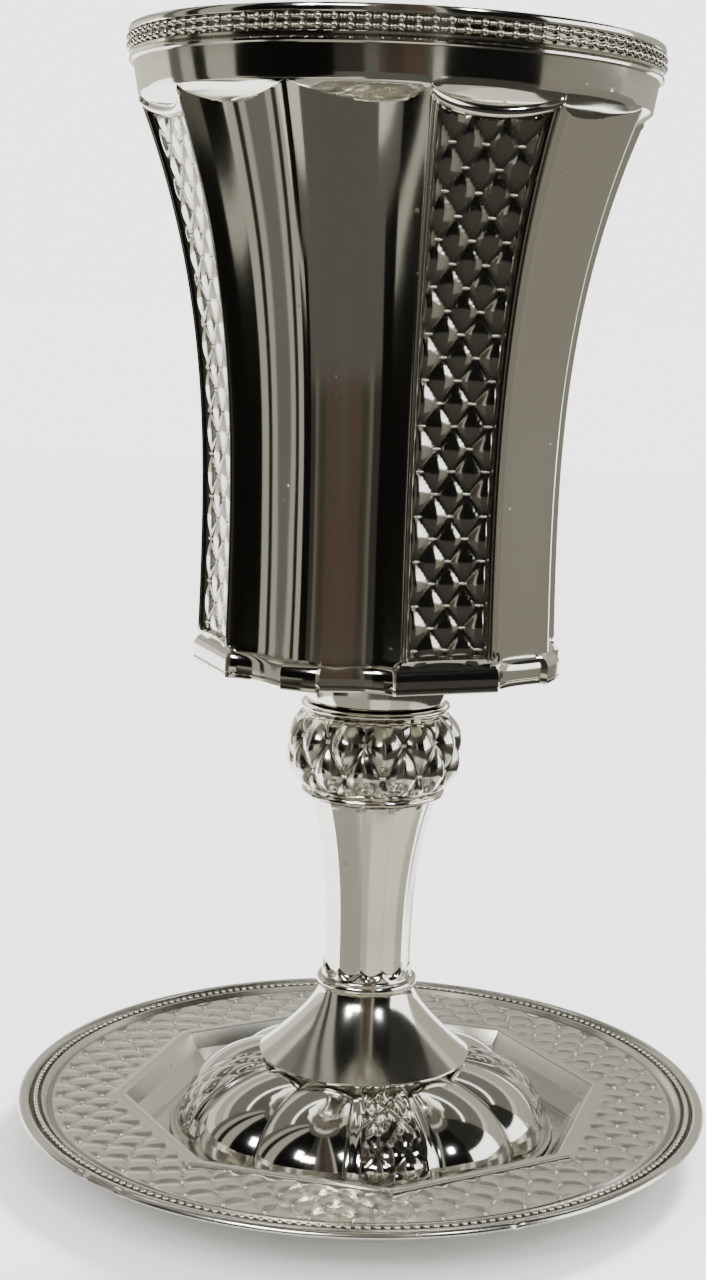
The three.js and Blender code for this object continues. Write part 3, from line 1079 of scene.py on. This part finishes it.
def plain_material(name, colour, roughness):
    made = bpy.data.materials.new(name)
    made.use_nodes = True
    surface = made.node_tree.nodes["Principled BSDF"]
    surface.inputs["Base Color"].default_value = (*colour, 1)
    surface.inputs["Roughness"].default_value = roughness
    return made


def glow_material(name, colour):
    """Even glow, so that a screen keeps its tone wherever the lamps stand."""
    made = bpy.data.materials.new(name)
    made.use_nodes = True
    surface = made.node_tree.nodes["Principled BSDF"]
    surface.inputs["Base Color"].default_value = (0, 0, 0, 1)
    surface.inputs["Roughness"].default_value = 1
    surface.inputs["Specular IOR Level"].default_value = 0
    surface.inputs["Emission Color"].default_value = (*colour, 1)
    surface.inputs["Emission Strength"].default_value = 1
    return made


def around(angle, distance, height):
    return tuple(place(angle, distance / MM, height / MM))


def screen(name, start, end, outline, colour):
    """Curved studio screen between two angles. Its outline lists distances and heights in metres.

    It only shows in the metal, so the ground stays plain and pale.
    """
    steps = max(2, round((end - start) / 6))
    angles = [mix(start, end, i / steps) for i in range(steps + 1)]
    points = [around(angle, *spot) for angle in angles for spot in outline]
    width = len(outline)
    faces = []
    for i in range(steps):
        for j in range(width - 1):
            corner = i * width + j
            faces.append((corner, corner + 1, corner + width + 1, corner + width))
    mesh = bpy.data.meshes.new(name)
    mesh.from_pydata(points, [], faces)
    mesh.materials.append(glow_material(name, colour))
    made = bpy.data.objects.new(name, mesh)
    bpy.context.scene.collection.objects.link(made)
    made.visible_camera = False
    made.visible_shadow = False
    made.visible_diffuse = False


MAT_HEIGHT = 0.003
WALL_DISTANCE = 1.3


def mat(near, far=WALL_DISTANCE):
    return [(near, MAT_HEIGHT), (far, MAT_HEIGHT)]


TALL_WALL = [(WALL_DISTANCE, 0), (WALL_DISTANCE, 0.9), (0.9, 1.25), (0.4, 1.35)]
WINDOW = [(1.15, 0.72), (1.05, 0.92)]
HIGH_WALL = [(WALL_DISTANCE, 0.8), (0.9, 1.25), (0.4, 1.35)]
BACK_LOW = [(WALL_DISTANCE, 0.02), (WALL_DISTANCE, 0.36)]
BACK_MIDDLE = [(WALL_DISTANCE, 0.36), (WALL_DISTANCE, 0.67)]
BACK_STRIP = [(WALL_DISTANCE, 0.67), (WALL_DISTANCE, 0.86)]
BACK_HIGH = [(WALL_DISTANCE, 0.86), (0.9, 1.25)]
CEILING = [(0.26, 1.37), (0.9, 1.37)]
OVERHEAD = [(0.01, 1.37), (0.26, 1.37)]
OLIVE = (0.26, 0.25, 0.208)
GREY = (0.13, 0.126, 0.108)
BLACK = (0.005, 0.005, 0.004)
DUSK = (0.11, 0.106, 0.09)
PEARL = (0.42, 0.41, 0.35)
PALE = (0.6, 0.59, 0.5)
CREAM = (0.95, 0.93, 0.8)
BROWN = (0.09, 0.062, 0.047)

SCREENS = (  # name, first and last angle, outline, glow
    ("left_middle", -113, -104, mat(0.12) + TALL_WALL, (0.13, 0.127, 0.108)),
    ("left_pale", -104, -96, mat(0.12) + TALL_WALL, PEARL),
    ("left_line", -96, -88, mat(0.34) + TALL_WALL, (0.014, 0.014, 0.012)),
    ("left_ridge", -96, -72, mat(0.12, 0.34), CREAM),
    ("left_side", -88, -72, mat(0.34) + TALL_WALL, PEARL),
    ("left_near", -72, -44, mat(0.12, 0.36), BLACK),
    ("left_patch", -72, -44, mat(0.36, 0.42), (0.45, 0.44, 0.375)),
    ("left_dark", -72, -44, mat(0.42) + TALL_WALL, BLACK),
    ("front_patch", -44, -14, mat(0.12, 0.262), (0.75, 0.73, 0.625)),
    ("front_edge", -44, -26, mat(0.262, 0.33), DUSK),
    ("front_dark", -44, -26, mat(0.33) + TALL_WALL, BLACK),
    ("front_beyond", -26, -14, mat(0.262, 0.5), DUSK),
    ("front_near", -14, 20, mat(0.1, 0.5), DUSK),
    ("front_shade", -26, -13, mat(0.5) + TALL_WALL, (0.04, 0.038, 0.032)),
    ("front_left", -13, -7, mat(0.5) + TALL_WALL, GREY),
    ("brown_left", -7, -4, mat(0.5) + TALL_WALL, BROWN),
    ("front_middle", -4, 3, mat(0.5) + TALL_WALL, (0.055, 0.048, 0.038)),
    ("brown_right", 3, 12.5, mat(0.5) + TALL_WALL, BROWN),
    ("front_right", 12.5, 15, mat(0.5) + TALL_WALL, (0.085, 0.08, 0.065)),
    ("right_line", 15, 19, mat(0.5) + TALL_WALL, (0.5, 0.49, 0.42)),
    ("right_near", 20, 62, mat(0.1, 0.55), (0.06, 0.058, 0.05)),
    ("right_dark", 19, 62, mat(0.55) + TALL_WALL, (0.008, 0.008, 0.007)),
    ("right_low", 62, 140, mat(0.1, 0.28), (0.07, 0.068, 0.058)),
    ("right_mid", 62, 140, mat(0.28, 3), OLIVE),
    ("right_high", 62, 112, HIGH_WALL, (0.03, 0.03, 0.025)),
    ("back_low_right", 112, 180, BACK_LOW, (0.5, 0.49, 0.42)),
    ("back_low_left", 180, 247, BACK_LOW, CREAM),
    ("back_middle", 112, 247, BACK_MIDDLE, (0.52, 0.51, 0.445)),
    ("back_strip", 112, 247, BACK_STRIP, (0.8, 0.785, 0.69)),
    ("back_high", 112, 247, BACK_HIGH, (0.2, 0.195, 0.17)),
    ("table_left", -75, -10, mat(0.052, 0.12), PEARL),
    ("table_front", -10, 24, mat(0.052, 0.1), CREAM),
    ("table_right", 24, 60, mat(0.052, 0.1), PALE),
    ("table_far_right", 60, 110, mat(0.052, 0.1), CREAM),
    ("ceiling", -180, 180, CEILING, (0.12, 0.118, 0.1)),
    ("window", -34, -14, WINDOW, (20, 19.6, 18)),
    ("overhead", -180, 180, OVERHEAD, (0.7, 0.685, 0.6)),
)


def set_stage():
    floor_mesh = bpy.data.meshes.new("floor")
    reach = 40.0
    floor_mesh.from_pydata(
        [(-reach, -reach, 0), (reach, -reach, 0), (reach, reach, 0), (-reach, reach, 0)],
        [],
        [(0, 1, 2, 3)],
    )
    floor = bpy.data.objects.new("floor", floor_mesh)
    floor_mesh.materials.append(plain_material("pale_floor", (0.63, 0.63, 0.625), 0.7))
    bpy.context.scene.collection.objects.link(floor)
    for name, start, end, outline, colour in SCREENS:
        screen("screen_" + name, start, end, outline, colour)


def area_light(name, centre, size, power):
    lamp = bpy.data.lights.new(name, "AREA")
    lamp.shape = "RECTANGLE"
    lamp.size, lamp.size_y = size
    lamp.energy = power
    made = bpy.data.objects.new(name, lamp)
    bpy.context.scene.collection.objects.link(made)
    made.location = centre
    middle = Vector((0, 0, 0.08))
    made.rotation_euler = (middle - Vector(centre)).to_track_quat("-Z", "Y").to_euler()
    made.visible_camera = False
    return made


def set_light():
    world = bpy.data.worlds.new("studio")
    bpy.context.scene.world = world
    world.use_nodes = True
    background = world.node_tree.nodes["Background"]
    background.inputs["Color"].default_value = (1, 0.995, 0.975, 1)
    background.inputs["Strength"].default_value = 3.2
    sun = bpy.data.lights.new("soft_sun", "SUN")
    sun.energy = 10.5
    sun.angle = math.radians(14)
    key = bpy.data.objects.new("soft_sun", sun)
    bpy.context.scene.collection.objects.link(key)
    key.rotation_euler = Vector((0.35, 0.75, 0.62)).to_track_quat("Z", "Y").to_euler()
    key.visible_glossy = False
    area_light("left_softbox", around(-40, 0.75, 0.62), (0.12, 0.2), 2.5)
    area_light("right_softbox", around(34, 0.8, 0.75), (0.12, 0.16), 2.0)


def set_camera():
    """Camera close in front of the cup and a little above its middle."""
    yaw, pitch, roll = [math.radians(turn) for turn in (1.44, 9.08, 2.20)]
    forward = Vector(
        (math.sin(yaw) * math.cos(pitch), math.cos(yaw) * math.cos(pitch), -math.sin(pitch))
    )
    level_right = Vector((math.cos(yaw), -math.sin(yaw), 0))
    level_up = level_right.cross(forward)
    right = math.cos(roll) * level_right + math.sin(roll) * level_up
    up = math.cos(roll) * level_up - math.sin(roll) * level_right
    lens = bpy.data.cameras.new("camera")
    lens.sensor_fit = "VERTICAL"
    lens.sensor_height = 24
    lens.lens = 39.1
    lens.shift_x = -0.06
    lens.clip_start = 0.01
    camera = bpy.data.objects.new("camera", lens)
    bpy.context.scene.collection.objects.link(camera)
    turn = Matrix((right, up, -forward)).transposed().to_4x4()
    camera.matrix_world = Matrix.Translation((0, -0.2937, 0.12025)) @ turn
    bpy.context.scene.camera = camera


set_stage()
set_light()
set_camera()
